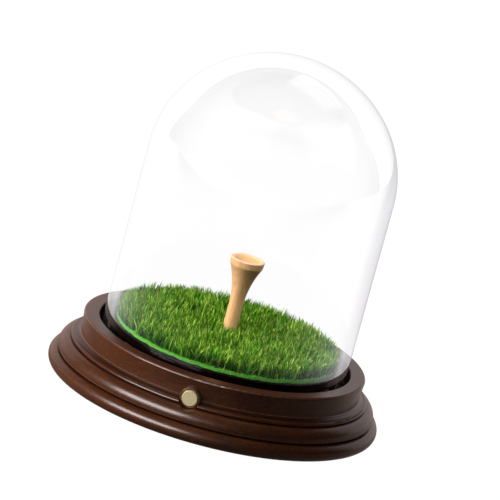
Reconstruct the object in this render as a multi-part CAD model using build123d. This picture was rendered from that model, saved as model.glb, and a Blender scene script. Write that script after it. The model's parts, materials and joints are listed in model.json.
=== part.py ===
from build123d import *
import os
from math import cos, radians, sin, sqrt

# Golf ball display case: a clear glass dome stands in the recess of a turned wooden base. A raised disc in the
# recess carries artificial turf and a golf tee. A push button in the front of the base works a light ring that
# is hidden under the rim of that disc.
#
# Frame: millimetres, +Z up, origin at the centre of the plane the case stands on. The button faces -Y.
# Distances marked "rad" are measured outward from the case's axis along -Y, the button's axis.

os.makedirs("parts", exist_ok=True)

# ---- Driving dimensions ----

# Turned base. The moulding's z values are counted down from the collar's top.
PAD_T = 0.8             # felt pad under the base
BASE_H = 19.6           # wood, foot to collar top
COLLAR_R = 48.5         # collar at its widest
COLLAR_EDGE_R = 0.75    # rounding of the collar's top edge
FASCIA_FOOT = (48.1, -6.9)
FASCIA_HOLLOW = 0.12    # how far the fascia is hollowed
QUIRK = (48.4, -7.1)    # fine step under the fascia
COVE_FOOT = (50.2, -7.9)
COVE_SAG = 0.3
BEAD_FOOT = (50.6, -9.3)
BEAD_SAG = 0.65
OVOLO_FOOT = (54.3, -13.5)
OVOLO_SAG = 1.4
STEP_FOOT = (53.6, -14.4)   # undercut below the ovolo
FOOT_R = 54.9           # underside of the wood
TORUS_SAG = 2.5
RECESS_R = 43.3
RECESS_D = 3.8
RECESS_CHAMFER = 0.25
BAY_R = 30.0            # opening through the middle, which holds the electronics
REBATE_R = 36.1         # seat of the bottom cover
COVER_T = 1.8
COVER_GAP = 0.2         # round the bottom cover
PAD_R_IN = 37.5
PAD_R_OUT = 52.5

# Glass dome
DOME_R = 42.0
GLASS_T = 1.8
SHOULDER_R = 38.0       # arc above the straight side
CROWN_R = 43.0          # arc over the top
SHOULDER_H = 60.7       # straight side's top, above the collar
RIM_FILLET = 0.6
SEAT_RING_T = 0.6
GROOVE_GAP = 0.2        # each side of the seat ring
SEAT_GAP = 0.05         # under the glass and under the light ring

# Turf disc
BOARD_R = 39.8
BOARD_STEP_R = 36.5     # lower step, inside the light ring
BOARD_STEP_H = 2.2
BOARD_RISE = 0.9        # board's top above the collar
BACKING_R = 37.9
BACKING_T = 1.1
PILE_R = 37.9
PILE_H = 5.9
PILE_FILLET = 1.8

# Golf tee
TEE_TOP = 30.2          # above the collar
TEE_HEAD_R = 5.8
TEE_RIM_R = 4.9         # edge of the dished top
TEE_DISH = 0.9
TEE_BAND_H = 2.5
TEE_NECK_R = 5.5        # neck where it meets the band
TEE_SHANK_R = 2.4
TEE_NECK_ARC = 31.4
TEE_EDGE = 0.2          # softened edges of the head
TEE_IN_BOARD = 3.2
TEE_GAP = 0.15          # turf to shank

# Push button
BUTTON_DROP = 6.7       # button's axis below the collar's top
BUSH_R = 3.5
BUSH_FACE = 49.8        # rad of the bush's front
BUSH_END = 44.2
BUSH_WALL = 0.3
BUSH_CHAMFER = 0.35
SEAT_R = 3.55           # shallow seat spot-faced round the bush
SEAT_FACE = 48.6        # rad of its flat
LIP_T = 0.6
LIP_R = 2.85            # opening of the front lip
CAP_FACE = 50.4
CAP_R = 2.75
CAP_CHAMFER = 0.3
SHOULDER_BACK = 47.4    # rad of the cap's back
CAP_STEM_D = 1.4        # how deep the stem goes into the cap
STEM_R = 1.1
STEM_BORE_R = 1.3
STEM_TIP = 29.3         # rad where the stem meets the switch's plunger
WASHER_T = 0.8
RUN = 0.05              # radial running clearance
SPRING_R = 2.2
SPRING_WIRE_R = 0.15
SPRING_TURNS = 3

# Electronics
PCB_R = 29.0
PCB_T = 1.0
PCB_TOP = 10.7
SWITCH_W = 6.2
SWITCH_H = 5.5
SWITCH_FRONT = 27.5     # rad
SWITCH_D = 5.5
PLUNGER_R = 1.2
PLUNGER_L = 3.7
PLUNGER_BORE_D = 3.0
SPACER_R = 2.5
SPACER_BORE_R = 1.1
BOARD_SCREW_ANGLES = (50, 130, 297)
BOARD_SCREW_PCD_R = 24.0
CELL_R = 10.0
CELL_T = 3.2
CELL_EDGE = 0.4
CELL_GAP = 0.3          # round a cell and at each of its faces
CELL_X = 11.2
HOLDER = (46.0, 23.0, 4.5)
CONTACT = (5.0, 26.0, 0.3)
CHIP = (5.0, 4.0, 1.6)
CHIP_Y = 16.5
RING_R_IN = 36.8
RING_R_OUT = 39.6
RING_T = 0.8
RING_TAB = (6.0, 12.0)  # inward tab that carries the link pins
TAB_LAP = 0.5           # how far the tab runs into the ring
TAB_GAP = 0.2           # round the tab in the turf board
LED = (1.2, 3.0, 0.9)   # radial, tangential, height
LED_COUNT = 12
PIN_R = 0.3
PIN_X = 1.27
PIN_Y = 27.5
PIN_TAIL = 0.6          # below the control board

# Screws and their holes
SCREW_R = 0.9
SCREW_HEAD_R = 1.9      # flat face of the countersunk head
SCREW_HEAD_H = 1.0
SCREW_POINT_R = 0.1
SCREW_SLOT = (2.1, 0.5)
SCREW_HOLE_R = 1.0
SINK = (1.95, 0.95, 1.05)   # countersink: radius at its mouth, at its bottom, depth
COVER_SCREW_L = 8.0
COVER_SCREW_R = 33.0    # circle the cover's screws stand on
COVER_SCREW_ANGLES = (90, 210, 330)
COVER_PILOT_D = 6.6
TEE_SCREW_L = 10.0
TEE_PILOT_D = 9.0
PAN_HEAD_R = 2.0
PAN_HEAD_H = 1.3
PAN_SLOT = (2.4, 0.5, 1.2)
PAN_SCREW_R = 0.95
PAN_SCREW_BITE = 2.4    # depth in the turf board
PAN_PILOT_D = 2.6
CUT_PAST = 10.0         # how far a cut runs past what it goes through

# ---- Derived places ----

COLLAR_Z = PAD_T + BASE_H
RECESS_Z = COLLAR_Z - RECESS_D
GLASS_Z = RECESS_Z + SEAT_RING_T + SEAT_GAP
BOARD_Z = COLLAR_Z + BOARD_RISE
BACKING_Z = BOARD_Z + BACKING_T
BUTTON_Z = COLLAR_Z - BUTTON_DROP
COVER_Z = PAD_T + COVER_T
PCB_BOTTOM = PCB_TOP - PCB_T
RING_Z = RECESS_Z + SEAT_GAP
TEE_Z = COLLAR_Z + TEE_TOP
TEE_FOOT_Z = BOARD_Z - TEE_IN_BOARD

UP = (Align.CENTER, Align.CENTER, Align.MIN)


# ---- Shape helpers ----

def disc(radius, low, high, x=0.0, y=0.0):
    """Upright cylinder between two heights."""
    return Pos(x, y, low) * Cylinder(radius, high - low, align=UP)


def ring(outer, inner, low, high, x=0.0, y=0.0):
    """Upright tube between two heights."""
    return disc(outer, low, high, x, y) - disc(inner, low, high, x, y)


def block(size, x, y, low):
    """Upright box standing on a height."""
    return Pos(x, y, low) * Box(*size, align=UP)


def radial(radius, outer, inner):
    """Cylinder on the button's axis, from one rad to a smaller one."""
    return Pos(0, -outer, BUTTON_Z) * Rot(-90, 0, 0) * Cylinder(radius, outer - inner, align=UP)


def turned(*edges):
    """Solid of revolution about Z from a closed outline drawn as (radius, z)."""
    return revolve(Plane.XZ * make_face(edges), Axis.Z)


def below_collar(point):
    """Moulding point, counted down from the collar's top, as (radius, z)."""
    return (point[0], COLLAR_Z + point[1])


def around(radius, angles):
    """Places on a circle about Z."""
    return [(radius * cos(radians(a)), radius * sin(radians(a))) for a in angles]


def wood_screw(length):
    """Countersunk screw with its head's flat face at z = 0, pointing up, with a cross recess."""
    head = Cone(SCREW_HEAD_R, SCREW_R, SCREW_HEAD_H, align=UP)
    shank = disc(SCREW_R, 0, length - SCREW_R)
    tip = Pos(0, 0, length - SCREW_R) * Cone(SCREW_R, SCREW_POINT_R, SCREW_R, align=UP)
    slot = Box(*SCREW_SLOT, SCREW_HEAD_H)
    return head + shank + tip - slot - Rot(0, 0, 90) * slot


# ---- Base and its underside ----

def wood_base():
    """Ring turned from one block: moulded outside, recess on top, rebate underneath."""
    foot = (FOOT_R, PAD_T)
    fascia_top = (COLLAR_R, COLLAR_Z - COLLAR_EDGE_R)
    fascia_foot, quirk = below_collar(FASCIA_FOOT), below_collar(QUIRK)
    cove, bead = below_collar(COVE_FOOT), below_collar(BEAD_FOOT)
    ovolo, step = below_collar(OVOLO_FOOT), below_collar(STEP_FOOT)
    body = turned(
        Polyline(
            foot, (REBATE_R, PAD_T), (REBATE_R, COVER_Z), (BAY_R, COVER_Z), (BAY_R, RECESS_Z),
            (RECESS_R, RECESS_Z), (RECESS_R, COLLAR_Z - RECESS_CHAMFER),
            (RECESS_R + RECESS_CHAMFER, COLLAR_Z), (COLLAR_R - COLLAR_EDGE_R, COLLAR_Z),
        ),
        RadiusArc((COLLAR_R - COLLAR_EDGE_R, COLLAR_Z), fascia_top, COLLAR_EDGE_R),
        SagittaArc(fascia_top, fascia_foot, -FASCIA_HOLLOW),
        Line(fascia_foot, quirk),
        SagittaArc(quirk, cove, -COVE_SAG),
        SagittaArc(cove, bead, BEAD_SAG),
        SagittaArc(bead, ovolo, OVOLO_SAG),
        Line(ovolo, step),
        SagittaArc(step, foot, TORUS_SAG),
    )
    body -= radial(SEAT_R, COLLAR_R + CUT_PAST, SEAT_FACE)
    body -= radial(BUSH_R, COLLAR_R + CUT_PAST, BUSH_END - RUN)
    body -= radial(STEM_BORE_R, BUSH_END, BAY_R - CUT_PAST)
    for x, y in around(COVER_SCREW_R, COVER_SCREW_ANGLES):
        body -= disc(SCREW_R, COVER_Z, COVER_Z + COVER_PILOT_D, x, y)
    return body


def bottom_cover():
    """Flat plate let into the rebate, with three countersunk holes."""
    plate = disc(REBATE_R - COVER_GAP, PAD_T, COVER_Z)
    for x, y in around(COVER_SCREW_R, COVER_SCREW_ANGLES):
        plate -= disc(SCREW_HOLE_R, PAD_T, COVER_Z, x, y)
        plate -= Pos(x, y, PAD_T) * Cone(*SINK, align=UP)
    return plate


def cover_screws():
    screw = wood_screw(COVER_SCREW_L)
    return Compound([Pos(x, y, PAD_T) * screw for x, y in around(COVER_SCREW_R, COVER_SCREW_ANGLES)])


def felt_pad():
    return ring(PAD_R_OUT, PAD_R_IN, 0, PAD_T)


def seat_ring():
    """Thin rubber ring on the recess floor that the glass stands on."""
    return ring(RECESS_R - GROOVE_GAP, BOARD_R + GROOVE_GAP, RECESS_Z, RECESS_Z + SEAT_RING_T)


# ---- Dome ----

def dome_shell(radius, shoulder, crown, low):
    """Solid round-topped cylinder; the crown's arc is tangent to the shoulder's."""
    side_top = COLLAR_Z + SHOULDER_H
    offset = DOME_R - SHOULDER_R
    reach = CROWN_R - SHOULDER_R
    drop = sqrt(reach ** 2 - offset ** 2)
    meet = (crown * offset / reach, side_top - drop + crown * drop / reach)
    apex = (0, side_top - drop + crown)
    return turned(
        Polyline(apex, (0, low), (radius, low), (radius, side_top)),
        RadiusArc((radius, side_top), meet, -shoulder),
        RadiusArc(meet, apex, -crown),
    )


def glass_dome():
    shell = dome_shell(DOME_R, SHOULDER_R, CROWN_R, GLASS_Z)
    shell -= dome_shell(DOME_R - GLASS_T, SHOULDER_R - GLASS_T, CROWN_R - GLASS_T, GLASS_Z)
    rim = shell.edges().group_by(Axis.Z)[0]
    return fillet(rim, RIM_FILLET)


# ---- Turf disc and tee ----

def turf_board():
    """Stepped disc; the light ring sits round its lower step, under the rim."""
    board = disc(BOARD_STEP_R, RECESS_Z, RECESS_Z + BOARD_STEP_H)
    board += disc(BOARD_R, RECESS_Z + BOARD_STEP_H, BOARD_Z)
    board -= disc(TEE_SHANK_R, TEE_FOOT_Z, BOARD_Z)
    board -= disc(SCREW_HOLE_R, RECESS_Z, TEE_FOOT_Z)
    board -= Pos(0, 0, RECESS_Z) * Cone(*SINK, align=UP)
    slot = (RING_TAB[0] + 2 * TAB_GAP, RING_TAB[1], SEAT_GAP + RING_T + TAB_GAP)
    board -= block(slot, 0, BOARD_STEP_R - RING_TAB[1] / 2, RECESS_Z)
    for x, y in around(BOARD_SCREW_PCD_R, BOARD_SCREW_ANGLES):
        board -= disc(SCREW_HOLE_R, RECESS_Z, RECESS_Z + PAN_PILOT_D, x, y)
    return board


def turf_backing():
    return ring(BACKING_R, TEE_SHANK_R + TEE_GAP, BOARD_Z, BACKING_Z)


def turf_pile():
    """Plain soft solid that stands for the grass."""
    pile = disc(PILE_R, BACKING_Z, BACKING_Z + PILE_H)
    pile = fillet(pile.edges().group_by(Axis.Z)[-1], PILE_FILLET)
    return pile - disc(TEE_SHANK_R + TEE_GAP, BACKING_Z, BACKING_Z + PILE_H)


def golf_tee():
    """Turned tee, cut to length: dished head, straight band, hollow neck, plain shank."""
    band_z = TEE_Z - TEE_BAND_H
    rise = sqrt(TEE_NECK_ARC ** 2 - (TEE_NECK_ARC - TEE_NECK_R + TEE_SHANK_R) ** 2)
    shank_top = (TEE_SHANK_R, band_z - rise)
    tee = turned(
        Polyline((0, TEE_Z), (0, TEE_FOOT_Z), (TEE_SHANK_R, TEE_FOOT_Z), shank_top),
        RadiusArc(shank_top, (TEE_NECK_R, band_z), TEE_NECK_ARC),
        Polyline(
            (TEE_NECK_R, band_z), (TEE_HEAD_R - TEE_EDGE, band_z + TEE_EDGE),
            (TEE_HEAD_R, TEE_Z - TEE_EDGE), (TEE_HEAD_R - TEE_EDGE, TEE_Z), (0, TEE_Z),
        ),
    )
    dish_r = (TEE_RIM_R ** 2 + TEE_DISH ** 2) / (2 * TEE_DISH)
    tee -= Pos(0, 0, TEE_Z - TEE_DISH + dish_r) * Sphere(dish_r)
    return tee - disc(SCREW_R, TEE_FOOT_Z, TEE_FOOT_Z + TEE_PILOT_D)


def tee_screw():
    return Pos(0, 0, RECESS_Z) * wood_screw(TEE_SCREW_L)


# ---- Push button ----

def button_bush():
    """Sleeve pressed into the front of the base; its lip holds the cap in."""
    bush = radial(BUSH_R, BUSH_FACE, BUSH_END)
    bush = chamfer(bush.edges().group_by(Axis.Y)[0], BUSH_CHAMFER)
    bush -= radial(LIP_R, BUSH_FACE, BUSH_FACE - LIP_T)
    return bush - radial(BUSH_R - BUSH_WALL, BUSH_FACE - LIP_T, BUSH_END)


def button_cap():
    """Flat disc with a shoulder behind the bush's lip."""
    shoulder = radial(BUSH_R - BUSH_WALL - RUN, BUSH_FACE - LIP_T - 2 * RUN, SHOULDER_BACK)
    face = radial(CAP_R, CAP_FACE, SHOULDER_BACK)
    face = chamfer(face.edges().group_by(Axis.Y)[0], CAP_CHAMFER)
    return face + shoulder - radial(STEM_R, SHOULDER_BACK + CAP_STEM_D, SHOULDER_BACK)


def button_stem():
    return radial(STEM_R, SHOULDER_BACK + CAP_STEM_D, STEM_TIP)


def guide_washer():
    washer = radial(BUSH_R - BUSH_WALL, BUSH_END + WASHER_T, BUSH_END)
    return washer - radial(STEM_R + RUN, BUSH_END + WASHER_T, BUSH_END)


def button_spring():
    """Open coil between the guide washer and the cap's shoulder."""
    length = SHOULDER_BACK - BUSH_END - WASHER_T - 2 * (SPRING_WIRE_R + RUN)
    path = Helix(pitch=length / SPRING_TURNS, height=length, radius=SPRING_R)
    wire = sweep(Plane(path @ 0, z_dir=path % 0) * Circle(SPRING_WIRE_R), path, is_frenet=True)
    front = SHOULDER_BACK - SPRING_WIRE_R - RUN
    return Pos(0, -front, BUTTON_Z) * Rot(-90, 0, 0) * wire


# ---- Electronics ----

def control_board():
    board = disc(PCB_R, PCB_BOTTOM, PCB_TOP)
    for x, y in around(BOARD_SCREW_PCD_R, BOARD_SCREW_ANGLES):
        board -= disc(SPACER_BORE_R, PCB_BOTTOM, PCB_TOP, x, y)
    for x in (-PIN_X, PIN_X):
        board -= disc(PIN_R, PCB_BOTTOM, PCB_TOP, x, PIN_Y)
    return board


def board_spacers():
    places = around(BOARD_SCREW_PCD_R, BOARD_SCREW_ANGLES)
    return Compound([ring(SPACER_R, SPACER_BORE_R, PCB_TOP, RECESS_Z, x, y) for x, y in places])


def board_screws():
    """Pan-head screws up through the board and its spacers."""
    head_z = PCB_BOTTOM - PAN_HEAD_H
    screw = disc(PAN_HEAD_R, head_z, PCB_BOTTOM)
    screw += disc(PAN_SCREW_R, PCB_BOTTOM, RECESS_Z + PAN_SCREW_BITE)
    for turn in (0, 90):
        screw -= Pos(0, 0, head_z) * Rot(0, 0, turn) * Box(*PAN_SLOT)
    return Compound([Pos(x, y, 0) * screw for x, y in around(BOARD_SCREW_PCD_R, BOARD_SCREW_ANGLES)])


def switch_body():
    body = block((SWITCH_W, SWITCH_D, SWITCH_H), 0, SWITCH_D / 2 - SWITCH_FRONT, PCB_TOP)
    return body - radial(PLUNGER_R + RUN, SWITCH_FRONT, SWITCH_FRONT - PLUNGER_BORE_D)


def switch_plunger():
    return radial(PLUNGER_R, STEM_TIP, STEM_TIP - PLUNGER_L)


def driver_chip():
    return block(CHIP, 0, CHIP_Y, PCB_BOTTOM - CHIP[2])


def cell_holder():
    """Tray under the board with two round pockets open downwards."""
    low = PCB_BOTTOM - HOLDER[2]
    tray = block(HOLDER, 0, 0, low)
    for x in (-CELL_X, CELL_X):
        tray -= disc(CELL_R + CELL_GAP, low, low + CELL_T + 2 * CELL_GAP, x, 0)
    return tray


def coin_cells():
    low = PCB_BOTTOM - HOLDER[2] + CELL_GAP
    cells = [disc(CELL_R, low, low + CELL_T, x, 0) for x in (-CELL_X, CELL_X)]
    return Compound([fillet(cell.edges().group_by(Axis.Z)[0], CELL_EDGE) for cell in cells])


def cell_contacts():
    """Spring strips across the holder that keep the cells in."""
    low = PCB_BOTTOM - HOLDER[2]
    return Compound([block(CONTACT, x, 0, low - CONTACT[2]) for x in (-CELL_X, CELL_X)])


def led_ring_board():
    board = ring(RING_R_OUT, RING_R_IN, RING_Z, RING_Z + RING_T)
    tab_y = RING_R_IN + TAB_LAP - RING_TAB[1] / 2
    board += block((RING_TAB[0], RING_TAB[1], RING_T), 0, tab_y, RING_Z)
    for x in (-PIN_X, PIN_X):
        board -= disc(PIN_R, RING_Z, RING_Z + RING_T, x, PIN_Y)
    return board


def rim_leds():
    """Side-firing lamps round the ring, facing the foot of the glass."""
    middle = RING_R_OUT - LED[0] / 2
    lamps = []
    for i in range(LED_COUNT):
        lamps.append(Rot(0, 0, (i + 0.5) * 360 / LED_COUNT) * block(LED, middle, 0, RING_Z + RING_T))
    return Compound(lamps)


def link_pins():
    top = RING_Z + RING_T
    return Compound([disc(PIN_R, PCB_BOTTOM - PIN_TAIL, top, x, PIN_Y) for x in (-PIN_X, PIN_X)])


SUB_PARTS = {
    "wood_base": wood_base,
    "bottom_cover": bottom_cover,
    "cover_screws": cover_screws,
    "felt_pad": felt_pad,
    "seat_ring": seat_ring,
    "glass_dome": glass_dome,
    "turf_board": turf_board,
    "turf_backing": turf_backing,
    "turf_pile": turf_pile,
    "golf_tee": golf_tee,
    "tee_screw": tee_screw,
    "button_bush": button_bush,
    "button_cap": button_cap,
    "button_stem": button_stem,
    "guide_washer": guide_washer,
    "button_spring": button_spring,
    "control_board": control_board,
    "board_spacers": board_spacers,
    "board_screws": board_screws,
    "switch_body": switch_body,
    "switch_plunger": switch_plunger,
    "driver_chip": driver_chip,
    "cell_holder": cell_holder,
    "coin_cells": coin_cells,
    "cell_contacts": cell_contacts,
    "led_ring_board": led_ring_board,
    "rim_leds": rim_leds,
    "link_pins": link_pins,
}

for node, make in SUB_PARTS.items():
    export_step(make(), f"parts/{node}.step")
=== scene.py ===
import json
import math

import bpy
import numpy as np
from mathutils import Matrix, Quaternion, Vector

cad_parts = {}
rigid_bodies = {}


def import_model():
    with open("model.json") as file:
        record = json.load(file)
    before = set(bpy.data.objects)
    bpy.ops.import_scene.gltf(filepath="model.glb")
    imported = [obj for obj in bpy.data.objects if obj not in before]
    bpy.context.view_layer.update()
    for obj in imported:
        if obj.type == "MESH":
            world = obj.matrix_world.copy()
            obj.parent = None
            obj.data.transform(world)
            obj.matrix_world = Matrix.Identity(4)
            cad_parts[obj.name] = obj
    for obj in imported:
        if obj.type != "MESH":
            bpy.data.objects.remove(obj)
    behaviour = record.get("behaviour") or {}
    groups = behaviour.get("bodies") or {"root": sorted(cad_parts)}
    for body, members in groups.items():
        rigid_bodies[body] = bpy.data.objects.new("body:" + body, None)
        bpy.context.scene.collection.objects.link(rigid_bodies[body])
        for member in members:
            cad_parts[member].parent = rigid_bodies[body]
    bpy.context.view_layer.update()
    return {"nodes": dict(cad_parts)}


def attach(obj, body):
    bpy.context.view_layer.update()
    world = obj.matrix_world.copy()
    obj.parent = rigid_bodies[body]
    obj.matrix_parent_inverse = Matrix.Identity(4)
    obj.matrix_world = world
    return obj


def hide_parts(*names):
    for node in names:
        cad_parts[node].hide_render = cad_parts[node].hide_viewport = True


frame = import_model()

parts = frame["nodes"]
MM = 0.001


# ---- Base ----
# A ring turned from one block of close-grained hardwood, stained to a dark mahogany, sanded and sprayed with
# satin lacquer. The grain runs straight across the block, so it shows as fine streaks on the front and back
# and as short flecks on the sides. The sharp edges carry a painted highlight, a thin paler line, and the
# hollows are painted darker, partly stain that gathers there and partly painted shade.

def linear(code):
    """The linear colour of an sRGB hex value such as "5A2E17"."""
    parts_of_255 = (int(code[i:i + 2], 16) / 255 for i in (0, 2, 4))
    return tuple(c / 12.92 if c <= 0.04045 else ((c + 0.055) / 1.055) ** 2.4 for c in parts_of_255) + (1.0,)


def add_node(tree, kind, feeds, out=None, stops=None, **options):
    """Add a shader node with its options, values and links, and give back one of its outputs."""
    node = tree.nodes.new("ShaderNode" + kind)
    for name, value in options.items():
        setattr(node, name, value)
    for name, value in feeds.items():
        socket = next(s for s in node.inputs if s.enabled and name in (s.identifier, s.name))
        if isinstance(value, bpy.types.NodeSocket):
            tree.links.new(value, socket)
        else:
            socket.default_value = value
    if stops:
        for _ in stops[2:]:
            node.color_ramp.elements.new(0.5)
        for element, (place, code) in zip(node.color_ramp.elements, stops):
            element.position = place
            element.color = linear(code)
    return node.outputs[out] if out else next((s for s in node.outputs if s.enabled), None)


def new_finish(name, values):
    """A material with one Principled shader that has these values; gives back the material and the shader."""
    finish = bpy.data.materials.new(name)
    finish.use_nodes = True
    shader = finish.node_tree.nodes["Principled BSDF"]
    for socket, value in values.items():
        shader.inputs[socket].default_value = value
    return finish, shader


def ring_mask(tree, section, rings, full_mm, none_mm, strength):
    """This strength within full_mm of any ring (its radius and height in mm), fading to 0 at none_mm."""
    mask = 0.0
    for ring_r, ring_z in rings:
        gap = add_node(tree, "VectorMath", {"Vector": section, "Vector_001": (ring_r * MM, ring_z * MM, 0)},
                       out="Value", operation="DISTANCE")
        near = add_node(tree, "MapRange", {"Value": gap, "From Min": full_mm * MM, "From Max": none_mm * MM,
                                           "To Min": strength, "To Max": 0.0})
        mask = add_node(tree, "Math", {"Value": near, "Value_001": mask}, operation="MAXIMUM")
    return mask


def repaint(finish, *names):
    """Put a finish on CAD parts, whose meshes stay as they are."""
    for name in names:
        parts[name].data.materials.clear()
        parts[name].data.materials.append(finish)


STREAK_MM = 0.55        # width of a grain streak
STREAK_LENGTH = 26      # times its width
PORE_MM = 0.16
FIGURE_MM = 16          # broad lighter and darker areas
ORANGE_PEEL_MM = 1.1    # ripple left by spraying
PEEL_DEPTH_MM = 0.05
ARRISES = ((48.28, 20.18), (48.1, 13.5), (54.3, 6.9))   # radius and height of the sharp edges
ARRIS_MM = 0.32         # how far the painted highlight on the sharp edges reaches
HOLLOWS = ((48.9, 12.8), (50.7, 10.9), (53.5, 6.0))     # and of the hollows, painted darker by gathered stain and painted shade
HOLLOW_DARKEST_MM = 0.35      # stain and painted shade at their darkest this near a hollow
HOLLOW_MM = 1.1         # and no darkening beyond this
HOLLOW_STAIN_AND_SHADE = 0.8

# Deep red-brown wood under a clear coat whose mirror is soft, with a slight ripple in the highlights.
mahogany, shader = new_finish("stained_mahogany_satin_lacquer", {
    "IOR": 1.5, "Specular IOR Level": 0.06, "Coat Weight": 0.7, "Coat Roughness": 0.27, "Coat IOR": 1.45,
})
tree = mahogany.node_tree
place = add_node(tree, "TexCoord", {}, out="Object")
along = add_node(tree, "Mapping", {"Vector": place, "Scale": (1 / STREAK_LENGTH, 1, 1)})
streaks = add_node(tree, "TexNoise", {
    "Vector": along, "Scale": 1000 / STREAK_MM, "Detail": 5.0, "Roughness": 0.62, "Distortion": 0.3,
})
figure = add_node(tree, "TexNoise", {"Vector": place, "Scale": 1000 / FIGURE_MM, "Detail": 2.0})
pores = add_node(tree, "TexNoise", {
    "Vector": along, "Scale": 1000 / PORE_MM, "Detail": 2.0, "Roughness": 0.5,
})
stain = add_node(tree, "ValToRGB", {"Fac": streaks},
                 stops=[(0.32, "4E2911"), (0.52, "5B2F14"), (0.74, "6A3B1B")])
depth = add_node(tree, "ValToRGB", {"Fac": figure}, stops=[(0.3, "D8D0CC"), (0.7, "FFFFFF")])
body = add_node(tree, "Mix", {"Factor": 0.8, "A": stain, "B": depth}, data_type="RGBA", blend_type="MULTIPLY")
pore_dark = add_node(tree, "ValToRGB", {"Fac": pores}, stops=[(0.34, "B8A89C"), (0.46, "FFFFFF")])
body = add_node(tree, "Mix", {"Factor": 0.7, "A": body, "B": pore_dark},
                data_type="RGBA", blend_type="MULTIPLY")
axes = add_node(tree, "SeparateXYZ", {"Vector": place}).node
flat = add_node(tree, "CombineXYZ", {"X": axes.outputs["X"], "Y": axes.outputs["Y"]})
radius = add_node(tree, "VectorMath", {"Vector": flat}, out="Value", operation="LENGTH")
section = add_node(tree, "CombineXYZ", {"X": radius, "Y": axes.outputs["Z"]})
# Painted highlight: a thin paler line along the sharp edges, broken up by the grain.
painted_edge_highlight = ring_mask(tree, section, ARRISES, full_mm=0.0, none_mm=ARRIS_MM, strength=1.0)
painted_edge_highlight = add_node(tree, "Math", {"Value": painted_edge_highlight, "Value_001": streaks}, operation="MULTIPLY")
stain_with_painted_light = add_node(tree, "Mix", {"Factor": painted_edge_highlight, "A": body, "B": linear("8E6450")}, data_type="RGBA")
# Darker in the hollows: partly stain that gathers there, partly painted shade.
stain_and_painted_shade = ring_mask(tree, section, HOLLOWS, full_mm=HOLLOW_DARKEST_MM, none_mm=HOLLOW_MM, strength=HOLLOW_STAIN_AND_SHADE)
stain_with_painted_light = add_node(tree, "Mix", {"Factor": stain_and_painted_shade, "A": stain_with_painted_light, "B": linear("1C0A05")}, data_type="RGBA")
tree.links.new(stain_with_painted_light, shader.inputs["Base Color"])
peel = add_node(tree, "TexNoise", {"Vector": place, "Scale": 1000 / ORANGE_PEEL_MM, "Detail": 1.0})
relief = add_node(tree, "Mix", {"Factor": 0.35, "A": peel, "B": streaks})
bump = add_node(tree, "Bump", {"Height": relief, "Strength": 0.25, "Distance": PEEL_DEPTH_MM * MM})
tree.links.new(bump, shader.inputs["Normal"])
sheen = add_node(tree, "MapRange", {"Value": streaks, "To Min": 0.40, "To Max": 0.54})
tree.links.new(sheen, shader.inputs["Roughness"])
repaint(mahogany, "wood_base")


# ---- Underside ----
# A moulded black cover with a fine spark-eroded texture, three zinc-plated screws and a die-cut ring of green
# baize that the case stands on.

TEXTURE_MM = 0.35


def speckle(tree, shader, grain_mm, stops, **noise):
    """Colour a shader by noise with grains of this size on the piece; gives back the noise."""
    place = add_node(tree, "TexCoord", {}, out="Object")
    grain = add_node(tree, "TexNoise", {"Vector": place, "Scale": 1000 / grain_mm, **noise})
    tone = add_node(tree, "ValToRGB", {"Fac": grain}, stops=stops)
    tree.links.new(tone, shader.inputs["Base Color"])
    return grain


def clear_selection():
    """Leave nothing selected, so that the next steps act only on what they make."""
    for o in bpy.context.selected_objects:
        o.select_set(False)


# Dull black with an even grain from the mould, drawn coarser than it is so that it shows.
moulded_black, shader = new_finish("moulded_black_abs", {"Roughness": 0.5, "IOR": 1.53})
tree = moulded_black.node_tree
grit = speckle(tree, shader, grain_mm=TEXTURE_MM, stops=[(0.3, "151516"), (0.7, "232325")], Detail=3.0)
bump = add_node(tree, "Bump", {"Height": grit, "Strength": 0.5, "Distance": 0.04 * MM})
tree.links.new(bump, shader.inputs["Normal"])
repaint(moulded_black, "bottom_cover", "cell_holder", "board_spacers", "switch_body", "switch_plunger",
        "driver_chip")

# Bluish bright metal, clouded by the plating bath.
zinc, shader = new_finish("zinc_plated_steel", {"Metallic": 1.0})
tree = zinc.node_tree
clouds = speckle(tree, shader, grain_mm=0.8, stops=[(0.3, "9FA4AB"), (0.7, "C9CCCF")], Detail=4.0)
dull = add_node(tree, "MapRange", {"Value": clouds, "To Min": 0.24, "To Max": 0.42})
tree.links.new(dull, shader.inputs["Roughness"])
repaint(zinc, "cover_screws", "board_screws", "tee_screw", "button_stem")

# Dark green wool with no shine and a soft light edge. Its fibres are drawn coarser, so that they show.
felt, shader = new_finish("green_baize", {"Roughness": 0.95, "Sheen Weight": 0.4, "Sheen Roughness": 0.5})
tree = felt.node_tree
fibres = speckle(tree, shader, grain_mm=0.3, stops=[(0.3, "0F2A1A"), (0.7, "1F4A2E")],
                 Detail=6.0, Distortion=1.5)
bump = add_node(tree, "Bump", {"Height": fibres, "Strength": 0.8, "Distance": 0.1 * MM})
tree.links.new(bump, shader.inputs["Normal"])

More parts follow.
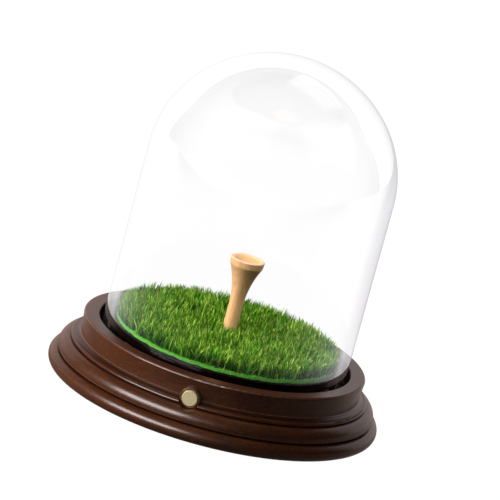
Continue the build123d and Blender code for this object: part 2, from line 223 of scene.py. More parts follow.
PAD_IN, PAD_OUT, PAD_THICK = 37.5, 52.5, 0.8
INNER_BAND = 1.02       # the first ring of faces ends at this many times the inner radius
OUTER_BAND = 0.7        # and the last is this wide
RAGGED_MM = 0.12        # how far the die's cut wanders
PRESSED = 0.7           # of its thickness, at the cut
ON_CUT = 0.1            # a point this near either radius is on the die's cut
clear_selection()
bpy.ops.mesh.primitive_circle_add(vertices=240, radius=PAD_IN * MM)
pad = bpy.context.object
pad.name = "baize_foot_ring"
bpy.ops.object.mode_set(mode="EDIT")
bpy.ops.mesh.select_mode(type="EDGE")
for wider in (INNER_BAND, (PAD_OUT - OUTER_BAND) / (PAD_IN * INNER_BAND), PAD_OUT / (PAD_OUT - OUTER_BAND)):
    bpy.ops.mesh.extrude_edges_move()
    bpy.ops.transform.resize(value=(wider, wider, 1), center_override=(0, 0, 0))
bpy.ops.mesh.select_all(action="SELECT")
bpy.ops.mesh.extrude_region_move(TRANSFORM_OT_translate={"value": (0, 0, PAD_THICK * MM)})
bpy.ops.mesh.select_all(action="SELECT")
bpy.ops.mesh.normals_make_consistent(inside=False)
bpy.ops.object.mode_set(mode="OBJECT")
nap_rng = np.random.default_rng(3)
co = np.array([v.co[:] for v in pad.data.vertices]) / MM
r = np.hypot(co[:, 0], co[:, 1])
cut = (r < PAD_IN + ON_CUT) | (r > PAD_OUT - ON_CUT)
ragged = np.where(r < (PAD_IN + PAD_OUT) / 2, 1, -1) * nap_rng.uniform(0, RAGGED_MM, len(r))
co[:, :2] *= (1 + np.where(cut, ragged, 0) / r)[:, None]
co[:, 2] = np.where(cut, PAD_THICK / 2 + (co[:, 2] - PAD_THICK / 2) * PRESSED, co[:, 2])
pad.data.vertices.foreach_set("co", (co * MM).ravel())
pad.data.update()
bpy.ops.object.shade_smooth_by_angle(angle=math.radians(50))
pad.data.materials.clear()
pad.data.materials.append(felt)
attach(pad, "base")
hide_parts("felt_pad")


# ---- Turf disc ----
# The stained board that carries the turf, and the thin moulded rubber ring in the groove round it that the
# glass stands on. Both are nearly black, and matt with a faint bloom.

# Soft black that takes no highlight.
rubber, shader = new_finish("moulded_black_rubber", {"Roughness": 0.8, "Specular IOR Level": 0.1})
tree = rubber.node_tree
speckle(tree, shader, grain_mm=0.9, stops=[(0.3, "0A0909"), (0.7, "181413")], Detail=4.0)
repaint(rubber, "seat_ring")

PLY_MM = 0.5
PLY_FLATTEN = 0.06      # the board's layers run long and thin
# Almost black, with its layers just showing on the cut side.
board_stain, shader = new_finish("dark_stained_board", {"Roughness": 0.6, "Specular IOR Level": 0.15})
tree = board_stain.node_tree
place = add_node(tree, "TexCoord", {}, out="Object")
layers = add_node(tree, "Mapping", {"Vector": place, "Scale": (PLY_FLATTEN, PLY_FLATTEN, 1)})
plies = add_node(tree, "TexNoise", {"Vector": layers, "Scale": 1000 / PLY_MM, "Detail": 3.0})
tone = add_node(tree, "ValToRGB", {"Fac": plies}, stops=[(0.3, "040202"), (0.7, "0C0604")])
tree.links.new(tone, shader.inputs["Base Color"])
repaint(board_stain, "turf_board")


# ---- Turf ----
# Tufted artificial grass, cut to a disc and laid on the board: fine flat polyethylene blades of three yarn
# colours standing in a bright green latex backing whose cut edge shows all round.

# Bright green, dull and lumpy where the latex holds the yarn.
backing, shader = new_finish("green_latex_backing", {"Roughness": 0.6})
tree = backing.node_tree
ribs = speckle(tree, shader, grain_mm=0.5, stops=[(0.3, "3C8C1E"), (0.7, "68BE36")], Detail=4.0)
bump = add_node(tree, "Bump", {"Height": ribs, "Strength": 1.0, "Distance": 0.2 * MM})
tree.links.new(bump, shader.inputs["Normal"])

MAT_R, MAT_LOW, MAT_HIGH = 37.75, 21.3, 22.4
MAT_INSET, MAT_BEVEL = 1.2, 0.3
RIBS = 290              # slanting yarn ends round the cut edge
RIB_SLANT = 2.6         # turn of the pattern in each mm of height
RIB_DEPTH = 0.09
FRAYED_FROM, FRAYED_WIDE = 37.0, 0.5    # the cut edge frays outside this radius
FRAY_SCATTER, FRAY_BACK = 0.05, 0.1     # how far the yarn ends wander and stand back
EDGE_WAVES = ((0.12, 23, 1), (0.09, 57, 0))     # height in mm, waves round the edge and shift
WAVE_SCATTER = 0.06
clear_selection()
bpy.ops.mesh.primitive_cylinder_add(vertices=3 * RIBS, radius=MAT_R * MM, depth=(MAT_HIGH - MAT_LOW) * MM,
                                    location=(0, 0, (MAT_LOW + MAT_HIGH) / 2 * MM))
mat = bpy.context.object
mat.name = "turf_backing_mat"
for face in mat.data.polygons:
    face.select = abs(face.normal.z) > 0.9
bpy.ops.object.mode_set(mode="EDIT")
bpy.ops.mesh.select_mode(type="FACE")
bpy.ops.mesh.inset(thickness=MAT_INSET * MM)
bpy.ops.mesh.select_more()
bpy.ops.mesh.region_to_loop()
bpy.ops.mesh.bevel(offset=MAT_BEVEL * MM, segments=2)
bpy.ops.object.mode_set(mode="OBJECT")
bpy.ops.object.transform_apply(location=True)
edge_rng = np.random.default_rng(11)
co = np.array([v.co[:] for v in mat.data.vertices]) / MM
r, a = np.hypot(co[:, 0], co[:, 1]), np.arctan2(co[:, 1], co[:, 0])
at_edge = np.clip((r - FRAYED_FROM) / FRAYED_WIDE, 0, 1)
rib = np.sin(RIBS * a + RIB_SLANT * (co[:, 2] - MAT_LOW))
r_new = r + at_edge * (RIB_DEPTH * rib + edge_rng.normal(0, FRAY_SCATTER, len(r)) - FRAY_BACK)
wave = sum(tall * np.sin(waves * a + shift) for tall, waves, shift in EDGE_WAVES)
wave = wave + edge_rng.normal(0, WAVE_SCATTER, len(r))
z_new = np.clip(co[:, 2] + at_edge * wave, MAT_LOW, None)
co[:, 0], co[:, 1], co[:, 2] = r_new * np.cos(a), r_new * np.sin(a), z_new
mat.data.vertices.foreach_set("co", (co * MM).ravel())
mat.data.update()
bpy.ops.object.shade_smooth_by_angle(angle=math.radians(50))
mat.data.materials.clear()
mat.data.materials.append(backing)
mat.visible_glossy = False
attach(mat, "base")
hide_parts("turf_backing")

BLADE_THICKNESS = 0.3   # of its width
YARNS = {               # how many blades, their width and height in mm, roots (dark, a painted shade), middles and tips
    "turf_blades_field": (9500, 0.44, 5.4, "031002", "2E8810", "58B824"),
    "turf_blades_olive": (8500, 0.42, 5.8, "061C02", "5CAA18", "A4DC3C"),
    "turf_blades_lime": (5000, 0.40, 6.1, "0E3004", "9CDC34", "ECFC88"),
}
GRASS_R = 37.6
SPREAD_R = 38.3         # no blade leans out past this
TEE_CLEAR_R = 2.6
ROOT_Z = 22.3
TALL_SPREAD, WIDE_SPREAD = (0.76, 1.08), (0.8, 1.2)     # a blade's size beside its yarn's
COMB_X, COMB_Y = (3.0, 5.5, 1.3), (2.6, 4.7, -0.4)      # swing in radians, length in mm and shift of the comb
COMB_SCATTER = 1.1      # radians
LEAN_LEAST, LEAN_SPREAD = 0.5, 1.9      # mm at the tip
BEND_POWER = 1.7        # how late along its length a blade bends
DROOP, LOWEST = 0.06, 0.7       # a leaning blade stands lower, down to this much of its height
EDGE_FROM, EDGE_WIDE = 35.0, 3.0        # the outer tufts splay outwards
EDGE_SPLAY = 0.35
EDGE_LIGHT = 0.4        # painted light: the roots of the outermost tufts are painted lighter
BLADE_CUTS = (0.4, 0.75)        # where along its length a blade can bend
BLADE_WIDTHS = {0.0: 1.0, 0.4: 1.0, 0.75: 0.78, 1.0: 0.0}      # and how wide it is there
rng = np.random.default_rng(7)

clear_selection()
bpy.ops.mesh.primitive_cone_add(vertices=3, radius1=0.5, radius2=0.0, depth=1.0, location=(0, 0, 0.5))
blade = bpy.context.object
bpy.ops.object.mode_set(mode="EDIT")
for cut in BLADE_CUTS:
    bpy.ops.mesh.select_all(action="SELECT")
    bpy.ops.mesh.bisect(plane_co=(0, 0, cut), plane_no=(0, 0, 1))
bpy.ops.object.mode_set(mode="OBJECT")
bpy.ops.object.transform_apply(location=True)
blade_co = np.array([v.co[:] for v in blade.data.vertices])
blade_faces = [tuple(f.vertices) for f in blade.data.polygons]
for v in blade_co:
    t = min(BLADE_WIDTHS, key=lambda k: abs(k - v[2]))
    r = math.hypot(v[0], v[1])
    if r > 1e-6:
        v[:2] *= 0.5 * BLADE_WIDTHS[t] / r
    v[2] = t
bpy.data.objects.remove(blade)


def sow(name, count, width, height, root, middle, tip):
    """One yarn's blades, scattered over the disc, each leaning and bending its own way."""
    angle = rng.uniform(0, 2 * math.pi, count)
    reach = np.sqrt(rng.uniform((TEE_CLEAR_R / GRASS_R) ** 2, 1, count)) * GRASS_R
    roots = np.stack([reach * np.cos(angle), reach * np.sin(angle)], 1)
    turn = rng.uniform(0, 2 * math.pi, count)
    combed = sum(swing * np.sin(roots[:, axis] / length + shift)
                 for axis, (swing, length, shift) in enumerate((COMB_X, COMB_Y)))
    lean_way = combed + rng.normal(0, COMB_SCATTER, count)
    lean = np.abs(rng.normal(0.0, 1.0, count)) * LEAN_SPREAD + LEAN_LEAST
    tall = height * rng.uniform(*TALL_SPREAD, count)
    wide = width * rng.uniform(*WIDE_SPREAD, count)
    edge = np.clip((reach - EDGE_FROM) / EDGE_WIDE, 0, 1)
    drift = np.stack([np.cos(lean_way), np.sin(lean_way)], 1) * lean[:, None]
    drift += np.stack([np.cos(angle), np.sin(angle)], 1) * (edge * EDGE_SPLAY)[:, None]
    x, y, t = blade_co[:, 0], blade_co[:, 1] * BLADE_THICKNESS, blade_co[:, 2]
    co = np.zeros((count, len(blade_co), 3))
    c, s = np.cos(turn)[:, None], np.sin(turn)[:, None]
    bend = t ** BEND_POWER
    co[:, :, 0] = roots[:, :1] + (c * x - s * y) * wide[:, None] + drift[:, :1] * bend
    co[:, :, 1] = roots[:, 1:] + (s * x + c * y) * wide[:, None] + drift[:, 1:] * bend
    droop = 1 - DROOP * lean[:, None] ** 2 * bend
    co[:, :, 2] = ROOT_Z + tall[:, None] * t * np.clip(droop, LOWEST, 1)
    over = np.hypot(co[:, :, 0], co[:, :, 1])
    squeeze = np.minimum(1, SPREAD_R / np.maximum(over, 1e-6))
    co[:, :, :2] *= squeeze[:, :, None]
    mesh = bpy.data.meshes.new(name)
    n = len(blade_co)
    mesh.from_pydata((co * MM).reshape(-1, 3), [],
                     [tuple(i + k * n for i in f) for k in range(count) for f in blade_faces])
    # Painted shade along each blade, lightened by painted light at the roots of the outer tufts.
    lit = t + EDGE_LIGHT * edge[:, None] * (1 - t)
    tones = np.repeat(rng.uniform(0, 1, count), n)
    for attribute, values in (("painted_shade_height", lit.ravel()), ("blade_tone", tones)):
        layer = mesh.attributes.new(attribute, "FLOAT", "POINT")
        layer.data.foreach_set("value", values.astype(np.float32))
    grass = bpy.data.objects.new(name, mesh)
    bpy.context.scene.collection.objects.link(grass)
    # Painted shade: dark at the roots and light at the tips, and the outermost roots painted lighter; each
    # blade a little different, with a faint plastic shine.
    finish, shader = new_finish(name.replace("turf_blades", "polyethylene_yarn"), {
        "Roughness": 0.5, "Specular IOR Level": 0.15,
    })
    tree = finish.node_tree
    along = add_node(tree, "Attribute", {}, out="Fac", attribute_name="painted_shade_height")
    each = add_node(tree, "Attribute", {}, out="Fac", attribute_name="blade_tone")
    up = add_node(tree, "ValToRGB", {"Fac": along}, stops=[(0.0, root), (0.55, middle), (1.0, tip)])
    vary = add_node(tree, "ValToRGB", {"Fac": each}, stops=[(0.0, "56643E"), (1.0, "F0F2E0")])
    tone = add_node(tree, "Mix", {"Factor": 1.0, "A": up, "B": vary}, data_type="RGBA", blend_type="MULTIPLY")
    tree.links.new(tone, shader.inputs["Base Color"])
    mesh.materials.append(finish)
    grass.visible_glossy = False
    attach(grass, "base")
    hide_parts("turf_pile")


for yarn, recipe in YARNS.items():
    sow(yarn, *recipe)


# ---- Golf tee ----
# A tee turned from pale birch, cut to length, let into the board and held by a screw from below. It is
# sanded and has a thin clear sealer. The grain runs up the shank in fine darker lines, and the dished top
# is painted paler, a painted highlight.

BIRCH_STREAK_MM = 0.6
BIRCH_STREAK_LENGTH = 25        # times its width
TOP_HIGHLIGHT_Z = (50.2, 51.0)      # the shank's colour turns to a paler painted highlight between these
TOP_HIGHLIGHT_AMOUNT = 0.7
# Pale yellow wood with a thin soft shine.
birch, shader = new_finish("sealed_birch", {
    "Roughness": 0.42, "IOR": 1.5, "Coat Weight": 0.15, "Coat Roughness": 0.3,
})
tree = birch.node_tree
place = add_node(tree, "TexCoord", {}, out="Object")
along = add_node(tree, "Mapping", {"Vector": place, "Scale": (1, 1, 1 / BIRCH_STREAK_LENGTH)})
streaks = add_node(tree, "TexNoise", {
    "Vector": along, "Scale": 1000 / BIRCH_STREAK_MM, "Detail": 5.0, "Roughness": 0.6,
})
tone = add_node(tree, "ValToRGB", {"Fac": streaks},
                stops=[(0.3, "DCA26A"), (0.55, "ECB982"), (0.75, "F4CA98")])
height = add_node(tree, "SeparateXYZ", {"Vector": place}, out="Z")
# Painted highlight: the dished top is painted paler.
painted_top_highlight = add_node(tree, "MapRange", {
    "Value": height, "From Min": TOP_HIGHLIGHT_Z[0] * MM, "From Max": TOP_HIGHLIGHT_Z[1] * MM,
    "To Max": TOP_HIGHLIGHT_AMOUNT,
})
tone = add_node(tree, "Mix", {"Factor": painted_top_highlight, "A": tone, "B": linear("FBEEDC")}, data_type="RGBA")
tree.links.new(tone, shader.inputs["Base Color"])
bump = add_node(tree, "Bump", {"Height": streaks, "Strength": 0.3, "Distance": 0.03 * MM})
tree.links.new(bump, shader.inputs["Normal"])
repaint(birch, "golf_tee")


# ---- Push button ----
# A flat cap of bead-blasted nickel in a turned sleeve of aged brass that is let into the front of the collar.
# A washer of the same brass closes the back of the sleeve and guides the cap's steel stem.

# Pale gold metal, too finely pitted to mirror anything. The pits are drawn coarser, so that they show.
nickel, shader = new_finish("bead_blasted_champagne_nickel", {"Metallic": 0.5, "Roughness": 0.6})
tree = nickel.node_tree
grit = speckle(tree, shader, grain_mm=0.35, stops=[(0.3, "A0926E"), (0.7, "BCAE8A")], Detail=4.0)
bump = add_node(tree, "Bump", {"Height": grit, "Strength": 0.5, "Distance": 0.03 * MM})
tree.links.new(bump, shader.inputs["Normal"])
repaint(nickel, "button_cap")

# Brown metal in uneven patches that shines only where it turns.
brass, shader = new_finish("antiqued_brass", {"Metallic": 0.6, "Roughness": 0.4})
tree = brass.node_tree
speckle(tree, shader, grain_mm=1.2, stops=[(0.35, "4C321A"), (0.65, "7A5830")], Detail=5.0)
repaint(brass, "button_bush", "guide_washer")


# ---- Electronics ----
# Two round fibreglass boards under a green solder mask, held under the turf board, with tinned contacts and
# pins, steel coin cells and small lamps of yellow resin. The button's coil spring is made of drawn wire.

TRACK_MM = 2.5
# Glossy dark green, a little lighter over the copper.
solder_mask, shader = new_finish("green_solder_mask", {"Roughness": 0.3, "Coat Weight": 0.4})
tree = solder_mask.node_tree
place = add_node(tree, "TexCoord", {}, out="Object")
tracks = add_node(tree, "TexVoronoi", {"Vector": place, "Scale": 1000 / TRACK_MM}, distance="MANHATTAN",
                  feature="F1")
tone = add_node(tree, "ValToRGB", {"Fac": tracks}, stops=[(0.35, "0B3B1E"), (0.4, "14562C")])
tree.links.new(tone, shader.inputs["Base Color"])
repaint(solder_mask, "control_board", "led_ring_board")

# Warm grey metal, fairly bright.
tinned, shader = new_finish("tinned_brass", {"Metallic": 1.0, "Roughness": 0.3})
tree = tinned.node_tree
speckle(tree, shader, grain_mm=0.6, stops=[(0.3, "B9B7B0"), (0.7, "D9D7D0")], Detail=3.0)
repaint(tinned, "cell_contacts", "link_pins")

# Grey wire with a bright line along it.
spring_steel, shader = new_finish("drawn_spring_steel", {"Metallic": 1.0, "Roughness": 0.28})
tree = spring_steel.node_tree
speckle(tree, shader, grain_mm=0.15, stops=[(0.3, "84868A"), (0.7, "A9ABAF")], Detail=2.0)
repaint(spring_steel, "button_spring")

# Bright steel with the smears that handling leaves.
can_steel, shader = new_finish("spun_stainless_can", {"Metallic": 1.0})
tree = can_steel.node_tree
handling = speckle(tree, shader, grain_mm=1.8, stops=[(0.3, "B4B6B6"), (0.7, "D2D3D1")],
                   Detail=6.0, Distortion=0.8)
dull = add_node(tree, "MapRange", {"Value": handling, "To Min": 0.2, "To Max": 0.4})
tree.links.new(dull, shader.inputs["Roughness"])
repaint(can_steel, "coin_cells")

# Cloudy pale yellow, as unlit white lamps are.
phosphor, shader = new_finish("warm_white_lamp_resin", {"Roughness": 0.35})
tree = phosphor.node_tree
speckle(tree, shader, grain_mm=0.3, stops=[(0.3, "D8C46A"), (0.7, "EFE0A0")], Detail=2.0)
repaint(phosphor, "rim_leds")


# ---- Glass dome ----
# Soda-lime glass, blown, cut off below and fire-polished, standing loose on the rubber ring in the groove.
# Its wall is clear, with faint long ripples from blowing. It mirrors most where it is seen edge on, and its
# foot looks grey-green. Along its outline the mirror is painted darker, a painted shade that is strongest
# towards +X, and a thin white film there is a painted reflection.

CROWN_Z = 79.1          # where the straight wall turns into the round crown
FOOT_Z = 17.25          # under the foot of the glass
FOOT_TINT_Z = (0.5, 1.3)        # the tint fades out at these heights over the foot
RIPPLE_MM = 30
WALL_CLEAR = (0.995, 0.995, 0.996, 1)   # what each face of the wall lets through
OUTER_R = (41.0, 41.3)  # between the inner and the outer face of the wall
INNER_MIRROR = 0.12     # of the outer face's
EDGE_SLANT, EDGE_MIRROR = (0.5, 0.67), 0.85     # facing away by this much, the wall turns into a mirror
EDGE_FADE_Z, EDGE_AT_FOOT = (20, 42), 0.35      # and less so towards the base
SHADE_X, SHADE_LEAST = (-20, 40), 0.3   # painted shade: the mirror at the edge is painted darker, most towards +X
CROWN_FADE_Z = (78, 84)         # the crown mirrors a little more than the wall
WALL_MIRROR, CROWN_MIRROR = 0.01, 0.031
SLANT_POWER = 3.0
PAINTED_WHITE_EDGE = 0.015            # a white matt film on the edges, a painted reflection of the white room
# Nothing but its outline, its foot and what it mirrors shows.
glass, shader = new_finish("blown_soda_lime_glass", {})
tree = glass.node_tree
place = add_node(tree, "TexCoord", {}, out="Object")
ripples = add_node(tree, "TexNoise", {"Vector": place, "Scale": 1000 / RIPPLE_MM, "Detail": 1.0})
bump = add_node(tree, "Bump", {"Height": ripples, "Strength": 0.02, "Distance": 0.3 * MM})
# Painted reflection: a white matt film that stands in for the white room mirrored at the edges.
painted_white_film = add_node(tree, "BsdfDiffuse", {"Color": linear("F4F0F4")})
slant = add_node(tree, "LayerWeight", {"Blend": 0.5, "Normal": bump}, out="Facing")
# Painted shade: the mirror is painted darker where the wall is seen edge on, a dark line along the outline.
painted_edge_shade = add_node(tree, "ValToRGB", {"Fac": slant},
                   stops=[(0.58, "FFFFFF"), (0.67, "F8F6F9"), (0.82, "E2DFE4"), (0.96, "B4B0B6")])
edge = add_node(tree, "MapRange", {
    "Value": slant, "From Min": EDGE_SLANT[0], "From Max": EDGE_SLANT[1], "To Max": EDGE_MIRROR,
}, interpolation_type="SMOOTHSTEP")
axes = add_node(tree, "SeparateXYZ", {"Vector": place}).node
height = axes.outputs["Z"]
# Painted shade, stronger towards +X than towards -X.
painted_side_shade = add_node(tree, "MapRange", {
    "Value": axes.outputs["X"], "From Min": SHADE_X[0] * MM, "From Max": SHADE_X[1] * MM,
    "To Min": SHADE_LEAST,
})
painted_edge_shade = add_node(tree, "Mix", {"Factor": painted_side_shade, "A": (1, 1, 1, 1), "B": painted_edge_shade}, data_type="RGBA")
mirror = add_node(tree, "BsdfGlossy", {"Color": painted_edge_shade, "Roughness": 0.0, "Normal": bump})
rim = add_node(tree, "MapRange", {
    "Value": height, "From Min": (FOOT_Z + FOOT_TINT_Z[0]) * MM, "From Max": (FOOT_Z + FOOT_TINT_Z[1]) * MM,
    "To Min": 1.0, "To Max": 0.0,
})
body = add_node(tree, "Mix", {"Factor": rim, "A": WALL_CLEAR, "B": linear("C6D2CC")}, data_type="RGBA")
clear = add_node(tree, "BsdfTransparent", {"Color": body})
above = add_node(tree, "Math", {"Value": height, "Value_001": CROWN_Z * MM}, operation="SUBTRACT")
above = add_node(tree, "Math", {"Value": above, "Value_001": 0.0}, operation="MAXIMUM")
reach = add_node(tree, "CombineXYZ", {"X": axes.outputs["X"], "Y": axes.outputs["Y"], "Z": above})
reach = add_node(tree, "VectorMath", {"Vector": reach}, out="Value", operation="LENGTH")
outer = add_node(tree, "MapRange", {
    "Value": reach, "From Min": OUTER_R[0] * MM, "From Max": OUTER_R[1] * MM, "To Min": INNER_MIRROR,
})
far_wall = add_node(tree, "NewGeometry", {}, out="Backfacing")
near_wall = add_node(tree, "Math", {"Value": 1.0, "Value_001": far_wall}, operation="SUBTRACT")
outer = add_node(tree, "Math", {"Value": outer, "Value_001": near_wall}, operation="MULTIPLY")
edge = add_node(tree, "Math", {"Value": edge, "Value_001": outer}, operation="MULTIPLY")
low = add_node(tree, "MapRange", {
    "Value": height, "From Min": EDGE_FADE_Z[0] * MM, "From Max": EDGE_FADE_Z[1] * MM, "To Min": EDGE_AT_FOOT,
})
edge = add_node(tree, "Math", {"Value": edge, "Value_001": low}, operation="MULTIPLY")
crown = add_node(tree, "MapRange", {
    "Value": height, "From Min": CROWN_FADE_Z[0] * MM, "From Max": CROWN_FADE_Z[1] * MM,
    "To Min": WALL_MIRROR, "To Max": CROWN_MIRROR,
})
slanted = add_node(tree, "Math", {"Value": slant, "Value_001": SLANT_POWER}, operation="POWER")
slanted = add_node(tree, "Math", {"Value": slanted, "Value_001": outer}, operation="MULTIPLY")
gleam = add_node(tree, "Math", {"Value": crown, "Value_001": slanted}, operation="ADD")
gleam = add_node(tree, "Math", {"Value": gleam, "Value_001": edge}, operation="MAXIMUM")
painted_white_amount = add_node(tree, "Math", {"Value": edge, "Value_001": PAINTED_WHITE_EDGE}, operation="MULTIPLY")
wall = add_node(tree, "MixShader", {"Fac": gleam, "Shader": clear, "Shader_001": mirror})
wall = add_node(tree, "MixShader", {"Fac": painted_white_amount, "Shader": wall, "Shader_001": painted_white_film})
tree.links.new(wall, tree.nodes["Material Output"].inputs["Surface"])
tree.nodes.remove(shader)
repaint(glass, "glass_dome")
parts["glass_dome"].visible_shadow = False
parts["glass_dome"].visible_diffuse = False


# ---- Studio ----
# A pale floor, a white board that shows only in reflections and a dim room, so that the lacquer keeps its
# depth. The glass's sharp mirror, whose rays are singular, sees other parts of them than satin surfaces do.
# Soft boxes stand round the case, some kept to one group of pieces. Lit silk screens show only in the glass.

WHITE = (1, 1, 1, 1)
CASE_MIDDLE = (0, 0, 0.05)

FLOOR_SIZE = 12.0
TOOTH_MM = 4
FLOOR_SHEEN = 0.66      # how much of the floor's light satin surfaces mirror
SATIN_Y = (-0.1, 0.1)   # they see none of it in front of this, and all of it behind
GLASS_Y = (-0.15, 0.0)  # and so does the glass
GLASS_FRONT_Y = (-0.25, -0.4)   # which sees it again far in front
DIM_X, DIM_SIDE = (0.03, 0.35), 0.78    # the floor is dimmer to the right
clear_selection()
bpy.ops.mesh.primitive_grid_add(x_subdivisions=8, y_subdivisions=8, size=FLOOR_SIZE)
floor = bpy.context.object
floor.name = "floor"
paper, shader = new_finish("white_paper", {
    "Roughness": 0.9, "Specular IOR Level": 0.1, "Emission Color": WHITE, "Emission Strength": 1.0,
})
tree = paper.node_tree
speckle(tree, shader, grain_mm=TOOTH_MM, stops=[(0.3, "464646"), (0.7, "4A4A4A")], Detail=3.0)
ray = add_node(tree, "LightPath", {}).node
sharp, from_lens = ray.outputs["Is Singular Ray"], ray.outputs["Is Camera Ray"]
place = add_node(tree, "SeparateXYZ", {"Vector": add_node(tree, "TexCoord", {}, out="Object")}).node
across, back = place.outputs["X"], place.outputs["Y"]
satin = add_node(tree, "MapRange", {"Value": back, "From Min": SATIN_Y[0], "From Max": SATIN_Y[1]})
front = add_node(tree, "MapRange", {
    "Value": back, "From Min": GLASS_FRONT_Y[0], "From Max": GLASS_FRONT_Y[1],
})
behind = add_node(tree, "MapRange", {"Value": back, "From Min": GLASS_Y[0], "From Max": GLASS_Y[1]})
in_glass = add_node(tree, "Math", {"Value": behind, "Value_001": front}, operation="MAXIMUM")
part_seen = add_node(tree, "Mix", {"Factor": sharp, "A": satin, "B": in_glass})
side = add_node(tree, "MapRange", {
    "Value": across, "From Min": DIM_X[0], "From Max": DIM_X[1], "To Min": 1.0, "To Max": DIM_SIDE,
})
part_seen = add_node(tree, "Math", {"Value": part_seen, "Value_001": side}, operation="MULTIPLY")
mirrored = add_node(tree, "MapRange", {"Value": sharp, "To Min": FLOOR_SHEEN, "To Max": 1.0})
mirrored = add_node(tree, "Math", {"Value": mirrored, "Value_001": part_seen}, operation="MULTIPLY")
seen = add_node(tree, "Math", {"Value": from_lens, "Value_001": mirrored}, operation="MAXIMUM")
warm = add_node(tree, "Mix", {"Factor": ray.outputs["Is Glossy Ray"], "A": WHITE, "B": linear("FFE6DA")},
                data_type="RGBA")
warm = add_node(tree, "Mix", {"Factor": sharp, "A": warm, "B": WHITE}, data_type="RGBA")
tree.links.new(warm, shader.inputs["Emission Color"])
unseen = add_node(tree, "BsdfDiffuse", {"Color": (0, 0, 0, 1)})
shown = add_node(tree, "MixShader", {"Fac": seen, "Shader": unseen, "Shader_001": shader.outputs["BSDF"]})
underneath = add_node(tree, "NewGeometry", {}, out="Backfacing")
from_below = add_node(tree, "Math", {"Value": underneath, "Value_001": from_lens}, operation="MULTIPLY")
through = add_node(tree, "BsdfTransparent", {})
shown = add_node(tree, "MixShader", {"Fac": from_below, "Shader": shown, "Shader_001": through})
tree.links.new(shown, tree.nodes["Material Output"].inputs["Surface"])
floor.data.materials.append(paper)
floor.visible_diffuse = floor.visible_shadow = False

BOARD_X, BOARD_Y, BOARD_LOW = -1.35, 2.2, -0.4
BOARD_WIDE, BOARD_TALL = 8.7, 2.7
BOARD_LIGHT = 0.8       # in satin surfaces
PANEL_MIDDLE = 0.12     # of the board's width; the glass sees it brightest round here
PANEL_HALF = (0.36, 0.42)       # and it fades to its plain light between these
PANEL_LIGHT = (1.08, 1.0)
bpy.ops.mesh.primitive_grid_add(x_subdivisions=2, y_subdivisions=2, size=1.0)
backdrop = bpy.context.object
backdrop.name = "backdrop"
backdrop.scale = (BOARD_WIDE, BOARD_TALL, 1)
backdrop.rotation_euler = (math.radians(90), 0, 0)
backdrop.location = (BOARD_X, BOARD_Y, BOARD_TALL / 2 + BOARD_LOW)
card, shader = new_finish("white_card", {"Base Color": (0, 0, 0, 1), "Emission Color": WHITE})
tree = card.node_tree
sharp = add_node(tree, "LightPath", {}).node.outputs["Is Singular Ray"]
across = add_node(tree, "SeparateXYZ", {"Vector": add_node(tree, "TexCoord", {}, out="Object")}, out="X")
across = add_node(tree, "Math", {"Value": across, "Value_001": PANEL_MIDDLE}, operation="SUBTRACT")
across = add_node(tree, "Math", {"Value": across}, operation="ABSOLUTE")
panel = add_node(tree, "MapRange", {
    "Value": across, "From Min": PANEL_HALF[0], "From Max": PANEL_HALF[1], "To Min": PANEL_LIGHT[0],
    "To Max": PANEL_LIGHT[1],
})
bright = add_node(tree, "Mix", {"Factor": sharp, "A": BOARD_LIGHT, "B": panel})
tree.links.new(bright, shader.inputs["Emission Strength"])
warm = add_node(tree, "Mix", {"Factor": sharp, "A": linear("FFEFEC"), "B": WHITE}, data_type="RGBA")
tree.links.new(warm, shader.inputs["Emission Color"])
backdrop.data.materials.append(card)
backdrop.visible_camera = False

# A small black flag behind the dome keeps the board out of what the collar's satin top mirrors in front.
FLAG_WIDE, FLAG_TALL = 0.076, 0.09
FLAG_PLACE = (-0.008, 0.046, 0.062)
bpy.ops.mesh.primitive_grid_add(x_subdivisions=2, y_subdivisions=2, size=1.0)
flag = bpy.context.object
flag.name = "black_flag"
flag.scale = (FLAG_WIDE, FLAG_TALL, 1)
flag.rotation_euler = (math.radians(90), 0, 0)
flag.location = FLAG_PLACE
flock, shader = new_finish("black_flock", {
    "Base Color": (0, 0, 0, 1), "Roughness": 1.0, "Specular IOR Level": 0.0,
})
tree = flock.node_tree
sharp = add_node(tree, "LightPath", {}).node.outputs["Is Singular Ray"]
through = add_node(tree, "BsdfTransparent", {})
shown = add_node(tree, "MixShader", {"Fac": sharp, "Shader": shader.outputs["BSDF"], "Shader_001": through})
tree.links.new(shown, tree.nodes["Material Output"].inputs["Surface"])
flag.data.materials.append(flock)
flag.visible_camera = flag.visible_diffuse = flag.visible_shadow = flag.visible_transmission = False

BACK_WAY = (-0.126, 0.956, -0.264)      # from the lens through the case to the board
world = bpy.data.worlds.new("studio")
bpy.context.scene.world = world
world.use_nodes = True
tree = world.node_tree
way = add_node(tree, "TexCoord", {}, out="Generated")
height = add_node(tree, "SeparateXYZ", {"Vector": way}, out="Z")
room = add_node(tree, "ValToRGB", {"Fac": height}, stops=[(0.0, "262426"), (0.8, "1C1A1C")])
behind = add_node(tree, "VectorMath", {"Vector": way, "Vector_001": BACK_WAY}, out="Value",
                  operation="DOT_PRODUCT")
behind = add_node(tree, "MapRange", {"Value": behind, "From Min": -1.0})
mirrored = add_node(tree, "ValToRGB", {"Fac": behind},
                    stops=[(0.3, "E8E4EA"), (0.55, "B4B0B8"), (0.77, "6C6872")])
ray = add_node(tree, "LightPath", {}).node
room = add_node(tree, "Mix", {"Factor": ray.outputs["Is Singular Ray"], "A": room, "B": mirrored},
                data_type="RGBA")
room = add_node(tree, "Mix", {"Factor": ray.outputs["Is Camera Ray"], "A": room, "B": WHITE},
                data_type="RGBA")
tree.links.new(room, tree.nodes["Background"].inputs["Color"])


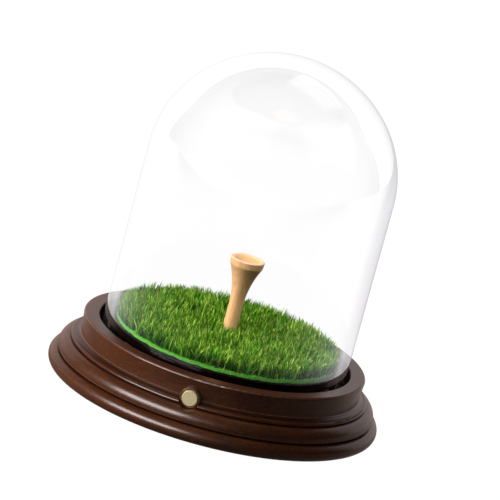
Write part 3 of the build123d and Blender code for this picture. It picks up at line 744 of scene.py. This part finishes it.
def place_round(azimuth, elevation, distance, centre=CASE_MIDDLE):
    """Point at a distance from the case; azimuth 0 is in front of it and grows to its right."""
    a, e = math.radians(azimuth), math.radians(elevation)
    out = Vector((math.sin(a) * math.cos(e), -math.cos(a) * math.cos(e), math.sin(e)))
    return Vector(centre) + distance * out


BOX_DISTANCE = 3.0


def light_box(name, azimuth, elevation, width, height, watts):
    """Square-cut soft box aimed at the case."""
    lamp = bpy.data.lights.new(name, "AREA")
    lamp.shape = "RECTANGLE"
    lamp.size, lamp.size_y, lamp.energy = width, height, watts
    box = bpy.data.objects.new(name, lamp)
    bpy.context.scene.collection.objects.link(box)
    box.location = place_round(azimuth, elevation, BOX_DISTANCE)
    box.rotation_euler = (Vector(CASE_MIDDLE) - box.location).to_track_quat("-Z", "Y").to_euler()
    return box


def group_of(name, pieces):
    """A collection of pieces that a light box can be kept to."""
    group = bpy.data.collections.new(name)
    for piece in pieces:
        group.objects.link(piece)
    return group


for name, azimuth, elevation, width, height, watts in (
        ("left_box", -74, 17, 1.6, 1.2, 108), ("front_box", -20, 46, 2.4, 2.0, 24)):
    light_box(name, azimuth, elevation, width, height, watts).visible_glossy = False
strip = light_box("gloss_box", -35, 22, 2.8, 1.5, 270)
strip.visible_diffuse = False
strip.light_linking.receiver_collection = group_of("lacquer_and_metal", [
    parts[name] for name in ("wood_base", "button_bush", "button_cap")])
under = light_box("under_box", -30, -48, 1.6, 1.6, 60)
under.visible_glossy = False
under.light_linking.receiver_collection = group_of("seen_from_below", [
    bpy.data.objects[name] for name in ("baize_foot_ring", "bottom_cover", "cover_screws")])

SILK_LIGHT = 1.25
silk, shader = new_finish("lit_silk", {})
tree = silk.node_tree
sharp = add_node(tree, "LightPath", {}).node.outputs["Is Singular Ray"]
glow = add_node(tree, "Emission", {"Color": WHITE, "Strength": SILK_LIGHT})
through = add_node(tree, "BsdfTransparent", {})
shown = add_node(tree, "MixShader", {"Fac": sharp, "Shader": through, "Shader_001": glow})
tree.links.new(shown, tree.nodes["Material Output"].inputs["Surface"])
tree.nodes.remove(shader)

SCREEN_DISTANCE = 3.4
for name, azimuth, elevation, wide, tall, tilt in (
        ("left_screen", -45, 41, 3.8, 2.8, 25), ("right_screen", 80, 48, 2.8, 2.3, -25),
        ("top_screen", 162, 60, 1.8, 1.2, 0)):
    bpy.ops.mesh.primitive_grid_add(x_subdivisions=2, y_subdivisions=2, size=1.0)
    screen = bpy.context.object
    screen.name = name
    screen.scale = (wide, tall, 1)
    screen.location = place_round(azimuth, elevation, SCREEN_DISTANCE)
    facing = (Vector(CASE_MIDDLE) - screen.location).to_track_quat("-Z", "Y")
    screen.rotation_euler = (facing @ Quaternion((0, 0, 1), math.radians(tilt))).to_euler()
    screen.data.materials.append(silk)
    screen.visible_camera = screen.visible_diffuse = False
    screen.visible_shadow = screen.visible_transmission = False

lawn = group_of("lit_through_the_dome", [
    piece for name, piece in bpy.data.objects.items()
    if name.startswith("turf_blades") or name in ("turf_backing_mat", "golf_tee")])
for name, azimuth, elevation, width, height, watts in (
        ("lawn_box", -38, 48, 1.4, 1.2, 60), ("lawn_fill", 65, 62, 1.6, 1.4, 42)):
    box = light_box(name, azimuth, elevation, width, height, watts)
    box.light_linking.receiver_collection = lawn

# A long lens, turned about its axis so that the case leans in the picture.
AZIMUTH, ELEVATION, ROLL = 7.49, 15.304, 15.075
DISTANCE = 1.59535
AIM = Vector((-0.00128, 0.00838, 0.05137))
LENS, SENSOR = 343.5, 36.0
camera = bpy.data.objects.new("camera", bpy.data.cameras.new("camera"))
bpy.context.scene.collection.objects.link(camera)
camera.data.lens, camera.data.sensor_width = LENS, SENSOR
camera.location = place_round(AZIMUTH, ELEVATION, DISTANCE, AIM)
level = (AIM - camera.location).to_track_quat("-Z", "Y")
camera.rotation_euler = (level @ Quaternion((0, 0, 1), math.radians(ROLL))).to_euler()
bpy.context.scene.camera = camera
bpy.context.scene.view_settings.view_transform = "Standard"
